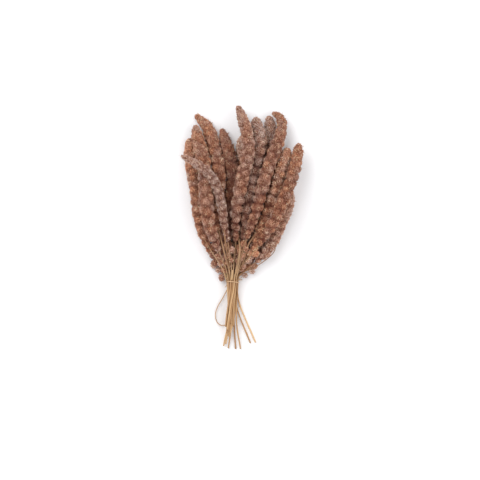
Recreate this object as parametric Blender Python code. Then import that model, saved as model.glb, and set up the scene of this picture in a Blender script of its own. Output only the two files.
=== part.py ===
# Tied bunch of dried foxtail millet heads, lying on a table.
# X runs across the bunch, +Y points to the tips of the heads and +Z up from the table.
# Sizes are millimetres, and the tables measure positions from the middle of the band.

import math
import random
from collections import namedtuple

import bmesh
import bpy
import numpy as np
from mathutils import Matrix, Vector

MM = 0.001

# Straws, and the bundle that the band holds
STRAW_RADIUS = 1.2
SLENDER_RADIUS = 0.65
STRAW_TOP_SHARE = 0.85
CLEARANCE = 0.4
ROWS = (6, 7, 6, 5)  # straws in each layer of the bundle, from the table up
LOWEST_ROW = 4.0  # height of the lowest layer's axes
BUNDLE_MIDDLE = -2.0
PITCH = 2 * STRAW_RADIUS + CLEARANCE
ROW_RISE = PITCH * math.sqrt(3) / 2
HELD_LENGTH = 4.0  # straws run side by side this far each way from the band
SPREAD_LENGTH = 9.0  # and one that others lift nearer than this is lifted in the band too
END_GAP = 0.3  # between a head and its straw

BAND_RADIUS = 0.7
BAND_POINTS = 32
BAND_PLACE = -1.0
BAND_SLOPE = -0.09
BAND_LEAN = 0.05

# Heads: peaks and valleys alternate over the rings and segments, so each peak is one lobe of seed
HEAD_RINGS = 34
HEAD_SEGMENTS = 8
TIP_CROWDING = 0.3  # rings lie this share closer than the average at the tip, and wider at the base
VALLEY_AT_TIP = 0.12
VALLEY_AT_BASE = 0.45
LOBE_VARIATION = 0.07
ROUND_SHARE = 0.036  # of the length, over which a tip is rounded
WIDEST_AT = 0.26
TAPER_FROM = 0.55
BASE_RADIUS = 3.2
PRESSED_SHARE = 0.08  # how far a head that lies on the table sinks into it
FLAT_BELOW = 2.4  # and what is lower than this lies flat on it

# Small clusters, which hang beside a straw
CLUSTER_RINGS = 8
CLUSTER_SEGMENTS = 8
CLUSTER_SPINE_POINTS = 9
CLUSTER_BLUNTNESS = 0.06  # where on a half wave the outline of a cluster begins
CLUSTER_OUTLINE = 0.86  # and how much of the half wave it takes in
CLUSTER_FORWARD = 0.3
CLUSTER_DROOP = 0.5
CLUSTER_GAP = 0.9

# How the sprays settle on each other
STEP = 1.25
STIFF_LENGTH = 60.0  # length over which a spray keeps itself straight
CONTACT_PUSH = 1e9
SETTLING_ROUNDS = 40
LAYING_PASSES = 3  # a head's outline depends on its length, which its heights change
CURVE_SAMPLES = 40
CHORD_ERROR = 0.12
SHARP_ANGLE = 60

Spray = namedtuple("Spray", "name radius tip above below")

# In the order in which they lie, from the table up. The points above the band run from a head's tip
# to its base, and those below it end at the cut. The tip is how wide a head begins, as a share of its
# widest. A straw without a head is only as thick as a straw, and its points begin at its upper end.
SPRAYS = (
    Spray("bowed_left_straw", SLENDER_RADIUS, 1, ((-14, 13), (-11, 8)),
          ((-12, -16), (-19, -29), (-26, -41), (-29, -53), (-27, -63), (-22, -69), (-14, -69))),
    Spray("01", 9.6, 0.7, ((13, 227), (12, 212), (13, 196), (17, 157), (9, 111), (5, 75), (0, 38),
                           (-2, 18)), ((3, -106),)),
    Spray("02", 9.4, 0.65, ((89, 197), (87, 184), (82, 163), (69, 130), (56, 100), (46, 72), (29, 36),
                            (16, 19)), ((6, -25), (34, -96))),
    Spray("03", 10.0, 0.72, ((54, 258), (57, 242), (56, 222), (50, 203), (39, 160), (30, 110), (26, 75),
                             (14, 35), (7, 18)), ((4, -38), (26, -97))),
    Spray("loose_straw_1", STRAW_RADIUS, 1, ((-22, 44), (-15, 24)), ((-10, -62),)),
    Spray("loose_straw_2", STRAW_RADIUS, 1, ((25, 42), (17, 22)), ((3, -68),)),
    Spray("04", 10.6, 0.45, ((-19, 238), (-15, 223), (-10, 204), (-1, 157), (-9, 110), (-11, 72), (-9, 34),
                             (-6, 17)), ((-13, -98),)),
    Spray("05", 10.6, 0.7, ((-69, 223), (-68, 204), (-64, 172), (-59, 142), (-55, 108), (-50, 82), (-41, 56),
                            (-31, 36)), ((-17, -101),)),
    Spray("06", 10.2, 0.7, ((88, 142), (85, 122), (76, 98), (66, 74), (53, 50), (30, 26)), ((11, -106),)),
    Spray("loose_straw_3", STRAW_RADIUS, 1, ((3, 44), (2, 22)), ((-9, -105),)),
    Spray("07", 10.2, 0.5, ((-60, 260), (-46, 247), (-36, 230), (-31, 208), (-22, 157), (-29, 107), (-28, 75),
                            (-17, 42), (-10, 24)), ((-8, -72),)),
    Spray("loose_straw_4", STRAW_RADIUS, 1, ((15, 46), (10, 24)), ((0, -73),)),
    Spray("08", 11.2, 0.8, ((34, 255), (37, 239), (40, 223), (39, 203), (29, 157), (20, 108), (17, 75),
                            (9, 40)), ((-1, -80),)),
    Spray("09", 11.6, 0.75, ((84, 207), (79, 192), (71, 172), (65, 148), (57, 117), (43, 83), (24, 40)),
          ((-3, -87),)),
    Spray("10", 10.8, 0.75, ((-60, 243), (-56, 223), (-51, 204), (-45, 178), (-43, 146), (-41, 115), (-37, 86),
                             (-20, 41)), ((-10, -66),)),
    Spray("loose_straw_5", STRAW_RADIUS, 1, ((-11, 48), (-7, 24)), ((-6, -77),)),
    Spray("bowed_right_straw", SLENDER_RADIUS, 1,
          ((62, 57), (65, 56), (66, 52), (63, 46), (57, 39.5), (49, 33), (38, 25)), ((9, -40),)),
    Spray("11", 10.2, 0.65, ((101, 214), (99, 200), (96, 182), (91, 163), (83, 142), (74, 120), (61, 92),
                             (34, 50)), ((3, -70),)),
    Spray("loose_straw_6", STRAW_RADIUS, 1, ((20, 50), (12, 24)), ((1, -66),)),
    Spray("12", 10.6, 0.75, ((60, 262), (67, 261), (74, 252), (75, 239), (71, 223), (64, 205), (56, 184),
                             (46, 154), (37, 118), (17, 58)), ((-1, -76),)),
    Spray("13", 10.8, 0.7, ((6, 272), (12, 257), (17, 242), (21, 224), (23, 204), (11, 150), (3, 103),
                            (3, 54)), ((-4, -84),)),
    Spray("14", 8.0, 0.55, ((-80, 193), (-72, 189), (-59, 182), (-44, 172), (-30, 155), (-20, 126), (-15, 90),
                            (-8, 55)), ((-5, -80),)),
    Spray("loose_straw_7", STRAW_RADIUS, 1, ((-13, 40), (-8, 22)), ((-8, -70),)),
    Spray("loose_straw_8", STRAW_RADIUS, 1, ((9, 44), (6, 22)), ((-2, -74),)),
)

# Small clusters of seed that sit apart on a straw: which straw, how far above the band, and to which side
Cluster = namedtuple("Cluster", "name spray above side radius length")
CLUSTERS = (
    Cluster("low_cluster_1", "05", 31, -1, 5.6, 10),
    Cluster("low_cluster_2", "05", 21, -1, 4.6, 9),
    Cluster("low_cluster_3", "05", 7, -1, 3.4, 11),
    Cluster("low_cluster_4", "06", 27, 1, 5.2, 10),
    Cluster("low_cluster_5", "06", 13, 1, 4.6, 9),
    Cluster("low_cluster_6", "10", 32, -1, 4.2, 8),
)


def has_head(spray):
    return spray.radius > STRAW_RADIUS


def straw_radius(spray):
    return min(spray.radius, STRAW_RADIUS)


def smooth_path(points):
    """Samples, one STEP apart, of a curve through the points that turns gently at each of them."""
    points = np.array(points, float)
    length = np.linalg.norm(np.diff(points, axis=0), axis=1)
    slope = np.diff(points, axis=0) / length[:, None]
    weight = (length[1:] / (length[:-1] + length[1:]))[:, None]
    middle = weight * slope[:-1] + (1 - weight) * slope[1:]
    tangent = np.vstack([slope[:1], middle, slope[-1:]])
    u = np.linspace(0, 1, CURVE_SAMPLES, endpoint=False)[:, None]
    pieces = []
    for i, reach in enumerate(length):
        pieces.append(
            (2 * u**3 - 3 * u**2 + 1) * points[i]
            + (u**3 - 2 * u**2 + u) * reach * tangent[i]
            + (3 * u**2 - 2 * u**3) * points[i + 1]
            + (u**3 - u**2) * reach * tangent[i + 1]
        )
    pieces.append(points[-1:])
    fine = np.vstack(pieces)
    along = distance_along(fine)
    return at_distance(fine, np.linspace(0, along[-1], round(along[-1] / STEP) + 1))


def distance_along(path):
    return np.concatenate([[0], np.cumsum(np.linalg.norm(np.diff(path, axis=0), axis=1))])


def at_distance(path, where):
    along = distance_along(path)
    return np.stack([np.interp(where, along, column) for column in path.T], axis=-1)


def head_radius(share, spray):
    """Outer radius of a head, from its tip at share 0 to its base at 1."""
    swell = spray.tip + (1 - spray.tip) * np.sin(np.pi / 2 * np.minimum(1, share / WIDEST_AT))
    cap = np.minimum(1, np.sqrt(share / ROUND_SHARE))
    taper = np.clip((share - TAPER_FROM) / (1 - TAPER_FROM), 0, 1) ** 2
    return spray.radius * swell * cap * (1 - taper) + BASE_RADIUS * taper


def cluster_radius(share, radius):
    """Outer radius of a small cluster, round at its tip and narrow at its root."""
    return radius * np.sqrt(np.sin(np.pi * (CLUSTER_BLUNTNESS + CLUSTER_OUTLINE * share)))


def slots():
    """The place of each spray's straw in the bundle, as x and z: the first sprays lie lowest, and in
    each layer they keep their order from left to right."""
    places = {}
    left = list(SPRAYS)
    for row, count in enumerate(ROWS):
        layer = sorted(left[:count], key=lambda spray: spray.above[-1][0])
        left = left[count:]
        for column, spray in enumerate(layer):
            x = BUNDLE_MIDDLE + (column - (count - 1) / 2) * PITCH
            places[spray.name] = (x, LOWEST_ROW + row * ROW_RISE)
    return places


def support_heights(plan, radius, laid):
    """The least height of each point of a new spray, above the table and the sprays already laid."""
    pressed = PRESSED_SHARE * np.clip(radius - BASE_RADIUS, 0, None)
    height = radius - pressed
    for path, other_radius in laid:
        reach = radius[:, None] + other_radius[None, :] + CLEARANCE
        gap = reach**2 - ((plan[:, None, :] - path[None, :, :2]) ** 2).sum(2)
        touching = path[None, :, 2] + np.sqrt(np.clip(gap, 0, None))
        height = np.maximum(height, np.where(gap > 0, touching, 0).max(1))
    return height


def settle(plan, radius, laid, slot_height):
    """Heights of a springy spray that rests on what lies below it and is held by the band."""
    count = len(plan)
    bend = np.diff(np.eye(count), 2, axis=0)
    stiffness = (STIFF_LENGTH / STEP) ** 4 * bend.T @ bend + np.eye(count)
    lowest = radius * (1 - PRESSED_SHARE)
    support = support_heights(plan, radius, laid)
    held = np.abs(plan[:, 1]) <= HELD_LENGTH
    support[held] = max(slot_height, support[np.abs(plan[:, 1]) <= SPREAD_LENGTH].max())
    height = support
    touching = held
    for _ in range(SETTLING_ROUNDS):
        push = CONTACT_PUSH * touching
        height = np.linalg.solve(stiffness + np.diag(push), lowest + push * support)
        touching = held | (height < support)
    return np.maximum(height, support)


def lay_sprays():
    """Each spray's path and length of head, laid one after the other from the table up."""
    found = {}
    laid = []
    for spray in SPRAYS:
        slot_x, slot_z = slots()[spray.name]
        held = ((slot_x, HELD_LENGTH), (slot_x, -HELD_LENGTH))
        plan = smooth_path(spray.above + held + spray.below)
        base = np.linalg.norm(plan - np.array(spray.above[-1]), axis=1).argmin() if has_head(spray) else 0
        radius = np.full(len(plan), straw_radius(spray))
        path = np.column_stack([plan, np.zeros(len(plan))])
        for _ in range(LAYING_PASSES):
            along = distance_along(path)
            radius[:base] = np.maximum(STRAW_RADIUS, head_radius(along[:base] / along[base], spray))
            path = np.column_stack([plan, settle(plan, radius, laid, slot_z)])
        laid.append((path, radius))
        found[spray.name] = (path, distance_along(path)[base])
    return found


def direction_frame(path, where):
    """Position, sideways and upward directions at distances along a path."""
    position = at_distance(path, where)
    ahead = at_distance(path, where + STEP) - at_distance(path, where - STEP)
    ahead /= np.linalg.norm(ahead, axis=1)[:, None]
    side = np.cross(ahead, (0, 0, 1))
    side /= np.linalg.norm(side, axis=1)[:, None]
    return position, side, np.cross(side, ahead)


def split_along_valleys(mesh, is_peak):
    """Cuts each quad from valley to valley, so that every peak stands alone as a lobe."""
    for face in list(mesh.faces):
        if len(face.verts) == 4:
            low = [vert for vert in face.verts if not is_peak[vert]]
            bmesh.utils.face_split(face, low[0], low[1])


def lobed_spike(path, length, radius_at, rings, segments, seed):
    """A closed spike along a path, starting at its tip, with lobes raised all over it."""
    draw = random.Random(seed)
    mesh = bmesh.new()
    bmesh.ops.create_uvsphere(mesh, u_segments=segments, v_segments=rings, radius=1)
    is_peak = {}
    for vert in mesh.verts:
        ring = round(math.acos(max(-1, min(1, vert.co.z))) / math.pi * rings)
        segment = round((math.atan2(vert.co.y, vert.co.x) - math.pi / 2) / (2 * math.pi) * segments)
        angle = math.pi / 2 + (segment + 0.5) * 2 * math.pi / segments
        is_peak[vert] = (ring + segment) % 2 == 0
        share = min(ring, rings - 1) / (rings - 1)
        share *= 1 - TIP_CROWDING * (1 - share)
        valley = 0 if is_peak[vert] else VALLEY_AT_TIP + (VALLEY_AT_BASE - VALLEY_AT_TIP) * share**2
        out = radius_at(share) * (1 - valley - LOBE_VARIATION * draw.random())
        if ring in (0, rings):
            out = 0
        position, side, up = direction_frame(path, np.array([share * length]))
        place = position[0] + out * (math.cos(angle) * side[0] + math.sin(angle) * up[0])
        height = place[2] if place[2] > FLAT_BELOW else 0
        vert.co = Vector((place[0], place[1], height)) * MM
    split_along_valleys(mesh, is_peak)
    return mesh


def add_mesh(name, mesh, origin, material, parent):
    """A mesh object whose own origin is the given point."""
    origin = Vector(origin) * MM
    mesh.transform(Matrix.Translation(-origin))
    data = bpy.data.meshes.new(name)
    mesh.to_mesh(data)
    mesh.free()
    data.shade_smooth()
    data.set_sharp_from_angle(angle=math.radians(SHARP_ANGLE))
    data.materials.append(material)
    obj = bpy.data.objects.new(name, data)
    obj.location = origin
    obj.parent = parent
    parent.users_collection[0].objects.link(obj)
    return obj


def add_tube(name, path, radius, material, parent, taper=1.0, closed=False):
    """A curve with a round section through the path's points, whose origin is its last point."""
    curve = bpy.data.curves.new(name, "CURVE")
    curve.dimensions = "3D"
    curve.bevel_depth = radius * MM
    curve.bevel_resolution = 1
    curve.use_fill_caps = True
    spline = curve.splines.new("POLY")
    spline.points.add(len(path) - 1)
    spline.use_cyclic_u = closed
    origin = path[-1]
    for i, (point, place) in enumerate(zip(spline.points, path)):
        point.co = (*((place - origin) * MM), 1)
        point.radius = taper + (1 - taper) * i / (len(path) - 1)
    curve.materials.append(material)
    obj = bpy.data.objects.new(name, curve)
    obj.location = Vector(origin) * MM
    obj.parent = parent
    parent.users_collection[0].objects.link(obj)
    return obj


def fewest_points(path):
    """The path with only the points it needs to stay within CHORD_ERROR of its full shape."""
    chord = path[-1] - path[0]
    offset = np.linalg.norm(np.cross(path - path[0], chord), axis=1) / np.linalg.norm(chord)
    worst = offset.argmax()
    if len(path) < 3 or offset[worst] <= CHORD_ERROR:
        return path[[0, -1]]
    return np.vstack([fewest_points(path[: worst + 1])[:-1], fewest_points(path[worst:])])


def band_path(sprays):
    """The loop that lies round the outermost straws of the bundle."""
    held = {}
    for spray in SPRAYS:
        path = sprays[spray.name][0]
        held[spray] = path[np.abs(path[:, 1]).argmin()][[0, 2]]
    middle = np.mean([place[1] for place in held.values()])
    loop = []
    for angle in np.linspace(0, 2 * math.pi, BAND_POINTS, endpoint=False):
        out = np.array((math.cos(angle), math.sin(angle)))
        spray = max(SPRAYS, key=lambda s: out @ held[s] + straw_radius(s))
        x, z = held[spray] + (straw_radius(spray) + END_GAP + BAND_RADIUS) * out
        loop.append((x, BAND_PLACE + BAND_SLOPE * x + BAND_LEAN * (z - middle), z))
    return np.array(loop)


def make_material(name, colour, roughness):
    material = bpy.data.materials.new(name)
    material.use_nodes = True
    surface = material.node_tree.nodes["Principled BSDF"]
    surface.inputs["Base Color"].default_value = (*colour, 1)
    surface.inputs["Roughness"].default_value = roughness
    surface.inputs["Metallic"].default_value = 0
    return material


def add_spray(spray, path, head_length, seed_material, straw_material, parent, seed):
    if not has_head(spray):
        add_tube(spray.name, fewest_points(path), spray.radius, straw_material, parent)
        return
    mesh = lobed_spike(path, head_length, lambda share: float(head_radius(share, spray)),
                       HEAD_RINGS, HEAD_SEGMENTS, seed)
    add_mesh("head_" + spray.name, mesh, at_distance(path, head_length), seed_material, parent)
    along = distance_along(path)
    start = head_length + END_GAP
    straw = np.vstack([at_distance(path, start), path[along > start + STEP]])
    add_tube("straw_" + spray.name, fewest_points(straw), STRAW_RADIUS, straw_material, parent,
             taper=STRAW_TOP_SHARE)


def add_cluster(cluster, sprays, material, parent, seed):
    """A small lump of seed that hangs beside a straw, a little forward and down."""
    path = sprays[cluster.spray][0]
    above = path[path[:, 1] > 0]
    where = distance_along(above)[-1] - cluster.above
    position, side, up = direction_frame(above, np.array([where]))
    ahead = np.cross(side[0], up[0])
    lean = -cluster.side * side[0] + CLUSTER_FORWARD * ahead - CLUSTER_DROOP * up[0]
    lean /= np.linalg.norm(lean)
    root = position[0] + lean * (STRAW_RADIUS + CLUSTER_GAP)
    spine = at_distance(np.array([root + lean * cluster.length, root]),
                        np.linspace(0, cluster.length, CLUSTER_SPINE_POINTS))
    mesh = lobed_spike(spine, cluster.length, lambda share: float(cluster_radius(share, cluster.radius)),
                       CLUSTER_RINGS, CLUSTER_SEGMENTS, seed)
    add_mesh(cluster.name, mesh, root, material, parent)


def stand_on_origin(parent):
    """Moves the bunch so that the origin is under the middle of its box, on the table."""
    bpy.context.view_layer.update()
    graph = bpy.context.evaluated_depsgraph_get()
    corners = []
    for obj in parent.children:
        evaluated = obj.evaluated_get(graph)
        mesh = evaluated.to_mesh()
        corners += [evaluated.matrix_world @ vert.co for vert in mesh.vertices]
        evaluated.to_mesh_clear()
    low = Vector(map(min, zip(*corners)))
    high = Vector(map(max, zip(*corners)))
    parent.location = -Vector(((low.x + high.x) / 2, (low.y + high.y) / 2, low.z))
    bpy.context.view_layer.update()


def main():
    for obj in list(bpy.data.objects):
        bpy.data.objects.remove(obj, do_unlink=True)
    collection = bpy.data.collections.new("millet_bunch")
    bpy.context.scene.collection.children.link(collection)
    bunch = bpy.data.objects.new("bunch", None)
    collection.objects.link(bunch)
    seed_material = make_material("seed", (0.29, 0.12, 0.07), 0.6)
    straw_material = make_material("straw", (0.50, 0.30, 0.15), 0.5)
    band_material = make_material("band", (0.62, 0.42, 0.26), 0.55)
    sprays = lay_sprays()
    for number, spray in enumerate(SPRAYS):
        path, head_length = sprays[spray.name]
        add_spray(spray, path, head_length, seed_material, straw_material, bunch, number)
    for number, cluster in enumerate(CLUSTERS):
        add_cluster(cluster, sprays, seed_material, bunch, len(SPRAYS) + number)
    add_tube("band", band_path(sprays), BAND_RADIUS, band_material, bunch, closed=True)
    stand_on_origin(bunch)


main()
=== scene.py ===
import math
import random
from functools import partial

import bmesh
import bpy
import numpy as np
from numpy.linalg import norm
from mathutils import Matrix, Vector
from mathutils.bvhtree import BVHTree


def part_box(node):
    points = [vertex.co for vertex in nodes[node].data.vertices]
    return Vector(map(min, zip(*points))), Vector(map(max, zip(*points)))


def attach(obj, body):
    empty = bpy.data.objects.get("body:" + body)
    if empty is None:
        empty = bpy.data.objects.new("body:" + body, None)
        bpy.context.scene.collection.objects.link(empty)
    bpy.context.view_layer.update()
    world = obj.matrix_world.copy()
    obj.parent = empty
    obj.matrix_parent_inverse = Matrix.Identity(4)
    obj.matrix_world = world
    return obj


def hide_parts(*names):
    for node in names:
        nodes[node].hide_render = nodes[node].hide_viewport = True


# A tied bunch of dried red foxtail millet that lies on a table, seen from straight above.

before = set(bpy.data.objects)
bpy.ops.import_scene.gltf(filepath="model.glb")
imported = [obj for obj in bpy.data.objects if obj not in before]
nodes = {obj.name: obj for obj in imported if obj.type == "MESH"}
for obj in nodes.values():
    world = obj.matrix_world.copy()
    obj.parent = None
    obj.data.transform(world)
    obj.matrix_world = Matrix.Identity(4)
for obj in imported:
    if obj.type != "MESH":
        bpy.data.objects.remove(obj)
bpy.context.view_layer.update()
bandMiddle = np.mean(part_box("band"), axis=0)
bandY = bandMiddle[1]

# How far the bunch keeps off the table
clearance = 0.00005
# Where straws and side lobes start round their axis, in radians
startTurn = (0, 6)


# Small helpers

# An sRGB hex colour as linear values
def hexColour(text):
    parts = [int(text[i:i + 2], 16) / 255 for i in (1, 3, 5)]
    return [p / 12.92 if p <= 0.04045 else ((p + 0.055) / 1.055) ** 2.4 for p in parts] + [1.0]


# Gives inputs of a node their values or links them. A node stands for its first output.
def feed(node, inputs):
    for socket, value in inputs.items():
        if isinstance(value, bpy.types.Node):
            value = value.outputs[0]
        if isinstance(value, bpy.types.NodeSocket):
            node.id_data.links.new(value, node.inputs[socket])
        else:
            node.inputs[socket].default_value = value


# A new node with its values, links and settings and, on a colour ramp, its stops
def addNode(tree, kind, inputs=None, stops=(), **settings):
    new = tree.nodes.new(kind)
    for name, value in settings.items():
        setattr(new, name, value)
    feed(new, inputs or {})
    for _ in stops[2:]:
        new.color_ramp.elements.new(0.5)
    for k, (place, colour) in enumerate(stops):
        new.color_ramp.elements[k].position = place
        new.color_ramp.elements[k].color = hexColour(colour)
    return new


def newMesh(name, points, faces):
    mesh = bpy.data.meshes.new(name)
    mesh.from_pydata(points.tolist(), [], faces)
    mesh.shade_smooth()
    return mesh


def addObject(name, data, material=None):
    if material:
        data.materials.append(material)
    new = bpy.data.objects.new(name, data)
    bpy.context.scene.collection.objects.link(new)
    return new


# What an object's modifiers make of it, as a plain mesh
def realised(base):
    return bpy.data.meshes.new_from_object(base.evaluated_get(bpy.context.evaluated_depsgraph_get()))


def cadNames(*starts):
    return sorted(name for name in nodes if name.startswith(starts))


# The calls that every finished piece of the bunch gets
def dress(piece, slotName, *replaced):
    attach(piece, "root")
    if replaced:
        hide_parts(*replaced)


# Materials

white = (1, 1, 1, 1)
# The colour of the painted shade down in the creases between the lobes
creviceShade = hexColour("#885a4a")


# A material, the function that adds nodes to it, and its surface
def newMaterial(name, roughness):
    material = bpy.data.materials.new(name)
    material.use_nodes = True
    surface = material.node_tree.nodes["Principled BSDF"]
    feed(surface, {"Roughness": roughness})
    return material, partial(addNode, material.node_tree), surface


# Uneven patches of about one size
def mottling(add, size, detail):
    place = add("ShaderNodeTexCoord").outputs["Object"]
    return add("ShaderNodeTexNoise", {"Scale": 1 / size, "Detail": detail, "Vector": place})


# A colour multiplied by a shade between two others
def shaded(add, colour, share, one, other):
    shade = add("ShaderNodeMix", {"Factor": share, 6: one, 7: other}, data_type="RGBA").outputs[2]
    return add("ShaderNodeMix", {"Factor": 1.0, 6: colour, 7: shade}, data_type="RGBA",
               blend_type="MULTIPLY").outputs[2]


# A material of one colour ramp, which follows patches, each part's own tint, or both; where asked, painted
# shade darkens it in the creases between the lobes
def makePlainMaterial(name, roughness, stops, patch=None, detail=2.0, patchShare=None, creased=False):
    material, add, surface = newMaterial(name, roughness)
    value = mottling(add, patch, detail) if patch else None
    if patchShare or not patch:
        tint = add("ShaderNodeAttribute", attribute_name="tint").outputs["Fac"]
        value = add("ShaderNodeMath", {0: value, 1: patchShare, 2: tint},
                    operation="MULTIPLY_ADD") if patch else tint
    colour = add("ShaderNodeValToRGB", {"Fac": value}, stops)
    # painted shade in the creases between the lobes
    if creased:
        depth = add("ShaderNodeAttribute", attribute_name="depth").outputs["Fac"]
        colour = shaded(add, colour, depth, creviceShade, white)
    feed(surface, {"Base Color": colour})
    return material


# Chaff and rachis between the grains: dull, with 1.1 mm fibres, and painted shade that darkens them in the
# creases
chaff = makePlainMaterial("milletChaff", 0.85, [(0.3, "#6b4030"), (0.55, "#92603f"), (0.75, "#b58465")],
                          patch=1 / 900, detail=3.0, creased=True)
# Husks and bits of leaf sheath on heads and straws: papery, grey-brown, with 1.7 mm stains
husk = makePlainMaterial("dryHusk", 0.8, [(0.2, "#77503c"), (0.7, "#a07a60"), (1.0, "#c6a88c")],
                         patch=1 / 600, patchShare=0.5)
# Bristles: fine stiff hairs, straw coloured to purple-brown
bristle = makePlainMaterial("milletBristle", 0.6, [(0.0, "#6d4638"), (0.5, "#94674e"), (1.0, "#bd9472")])
# Natural rubber, cut from a tube: matt, tan, mottled
rubber = makePlainMaterial("naturalRubber", 0.55, [(0.3, "#b98f68"), (0.7, "#d6b38c")], patch=0.0025)

# Dried foxtail millet grain in its hull: smooth, a little shiny, red-brown with paler and darker grains
# among them, and a dull mauve bloom that is partly the grains' own tone and partly painted reflection. It is
# paler on the open tops of the lobes, which is a painted highlight, and painted shade darkens the creases.
grainLook = {
    "warm": [(0.0, "#ad6c4d"), (0.5, "#d79874"), (0.9, "#e4b08c"), (1.0, "#f0d4ac")],
    "bloom": [(0.0, "#ab8d82"), (0.5, "#cdb2a6"), (0.92, "#dbc6b9"), (1.0, "#ead9c4")],
    "patch": 0.022,
    "patchRange": {"From Min": 0.35, "From Max": 0.65, "To Min": -0.22, "To Max": 0.22},
    # painted highlight: how much less bloom there is down in the creases, so the open tops are paler
    "bloomOnTop": 0.35,
    "roughness": 0.5,
    "wrinkle": 0.0005,
    "wrinkleBump": {"Strength": 0.25, "Distance": 0.0001},
}


def makeGrainMaterial():
    material, add, surface = newMaterial("driedMilletGrain", grainLook["roughness"])
    tint, tone, depth = (add("ShaderNodeAttribute", attribute_name=name).outputs["Fac"]
                         for name in ("tint", "tone", "depth"))
    patches = mottling(add, grainLook["patch"], 2.0)
    spread = add("ShaderNodeMapRange", {"Value": patches, **grainLook["patchRange"]})
    # painted highlight: the bloom fades down in the creases and is fullest on the open tops
    paintedHighlight = add("ShaderNodeMapRange", {"Value": depth, "To Min": -grainLook["bloomOnTop"], "To Max": 0.0})
    grown = add("ShaderNodeMath", {0: spread, 1: paintedHighlight}, operation="ADD")
    bloom = add("ShaderNodeMath", {0: tone, 1: grown}, operation="ADD", use_clamp=True)
    warm = add("ShaderNodeValToRGB", {"Fac": tint}, grainLook["warm"])
    dull = add("ShaderNodeValToRGB", {"Fac": tint}, grainLook["bloom"])
    hull = add("ShaderNodeMix", {"Factor": bloom, 6: warm, 7: dull}, data_type="RGBA").outputs[2]
    wrinkles = mottling(add, grainLook["wrinkle"], 1.0)
    bump = add("ShaderNodeBump", {"Height": wrinkles, **grainLook["wrinkleBump"]})
    # painted shade darkens the grains down in the creases between the lobes
    feed(surface, {"Base Color": shaded(add, hull, depth, creviceShade, white), "Normal": bump})
    return material


# Dried straw: golden and satin, streaked along its length, duller near the heads
strawLook = {
    "low": [(0.3, "#a97c4e"), (0.5, "#dcb480"), (0.75, "#f6e0ba")],
    "high": [(0.3, "#876347"), (0.5, "#bd9871"), (0.75, "#dcbf9c")],
    "turning": (-0.012, 0.03),  # from low to high, measured from the band
    "dullest": "#c4afa2",
    "streakWidth": 0.0004,
    "streakLength": 0.03,
    "streakBump": {"Strength": 0.6, "Distance": 0.0003},
    "roughness": 0.55,
}


def makeStrawMaterial():
    material, add, surface = newMaterial("driedStraw", strawLook["roughness"])
    around = add("ShaderNodeUVMap", uv_map="strawMap")
    fineness = (1 / strawLook["streakWidth"], 1 / strawLook["streakLength"], 1)
    streakMap = add("ShaderNodeMapping", {"Vector": around, "Scale": fineness})
    streaks = add("ShaderNodeTexNoise", {"Vector": streakMap, "Scale": 1.0, "Detail": 3.0, "Roughness": 0.6})
    low = add("ShaderNodeValToRGB", {"Fac": streaks}, strawLook["low"])
    high = add("ShaderNodeValToRGB", {"Fac": streaks}, strawLook["high"])
    place = add("ShaderNodeTexCoord").outputs["Object"]
    start, end = strawLook["turning"]
    rise = add("ShaderNodeMapRange", {"Value": add("ShaderNodeSeparateXYZ", {0: place}).outputs["Y"],
                                      "From Min": bandY + start, "From Max": bandY + end})
    streaked = add("ShaderNodeMix", {"Factor": rise, 6: low, 7: high}, data_type="RGBA").outputs[2]
    # some straws dried duller than others
    dull = add("ShaderNodeAttribute", attribute_name="dull").outputs["Fac"]
    colour = shaded(add, streaked, dull, white, hexColour(strawLook["dullest"]))
    bump = add("ShaderNodeBump", {"Height": streaks, **strawLook["streakBump"]})
    feed(surface, {"Base Color": colour, "Normal": bump})
    return material


grain = makeGrainMaterial()
straw = makeStrawMaterial()


# Reading the CAD

# A node's points with doubles merged, which of them each vertex is, and the neighbours of each point
def weldedNode(name):
    mesh = nodes[name].data
    spots = np.array([vertex.co[:] for vertex in mesh.vertices])
    microns = np.round(spots * 1e6).astype(int)
    _, first, where = np.unique(microns, axis=0, return_index=True, return_inverse=True)
    where = where.ravel()
    neighbours = [set() for _ in first]
    for edge in mesh.edges:
        one, other = (int(where[v]) for v in edge.vertices)
        if one != other:
            neighbours[one].add(other)
            neighbours[other].add(one)
    return spots[first], where, neighbours


# How many edges each point is away from the start
def stepsFrom(start, neighbours):
    steps = {start: 0}
    front = [start]
    while front:
        ahead = []
        for point in front:
            for other in neighbours[point]:
                if other not in steps:
                    steps[other] = steps[point] + 1
                    ahead.append(other)
        front = ahead
    return steps


# The middle of each ring of a tube in order, from its lower end, and the tube's radius at each
def tubePath(name, ringReach):
    spots, _, neighbours = weldedNode(name)
    near = [{q for q in neighbours[p] if norm(spots[q] - spots[p]) < ringReach} for p in range(len(spots))]
    group = {}
    for point in range(len(spots)):
        if point not in group:
            group.update(dict.fromkeys(stepsFrom(point, near), point))
    rings = {key: [p for p in group if group[p] == key] for key in set(group.values())}
    middle = {key: spots[members].mean(0) for key, members in rings.items()}
    beside = {key: {group[other] for p in members for other in neighbours[p]} - {key}
              for key, members in rings.items()}
    # a closed loop has no ends and starts at any ring
    ends = [key for key in rings if len(beside[key]) == 1] or [next(iter(rings))]
    order = [min(ends, key=lambda key: middle[key][1])]
    while onward := [key for key in beside[order[-1]] if key not in order]:
        order.append(onward[0])
    radius = [norm(spots[rings[key]] - middle[key], axis=1).mean() for key in order]
    return np.array([middle[key] for key in order]), np.array(radius)


def distanceAlong(path):
    return np.append(0, np.cumsum(norm(np.diff(path, axis=0), axis=1)))


def pathAt(path, where):
    along = distanceAlong(path)
    return np.stack([np.interp(where, along, column) for column in path.T], axis=-1)


def smoothed(values, rounds):
    values = values.copy()
    for _ in range(rounds):
        values[1:-1] = (values[:-2] + 2 * values[1:-1] + values[2:]) / 4
    return values


def unit(vectors):
    return vectors / norm(vectors, axis=-1)[..., None]


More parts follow.
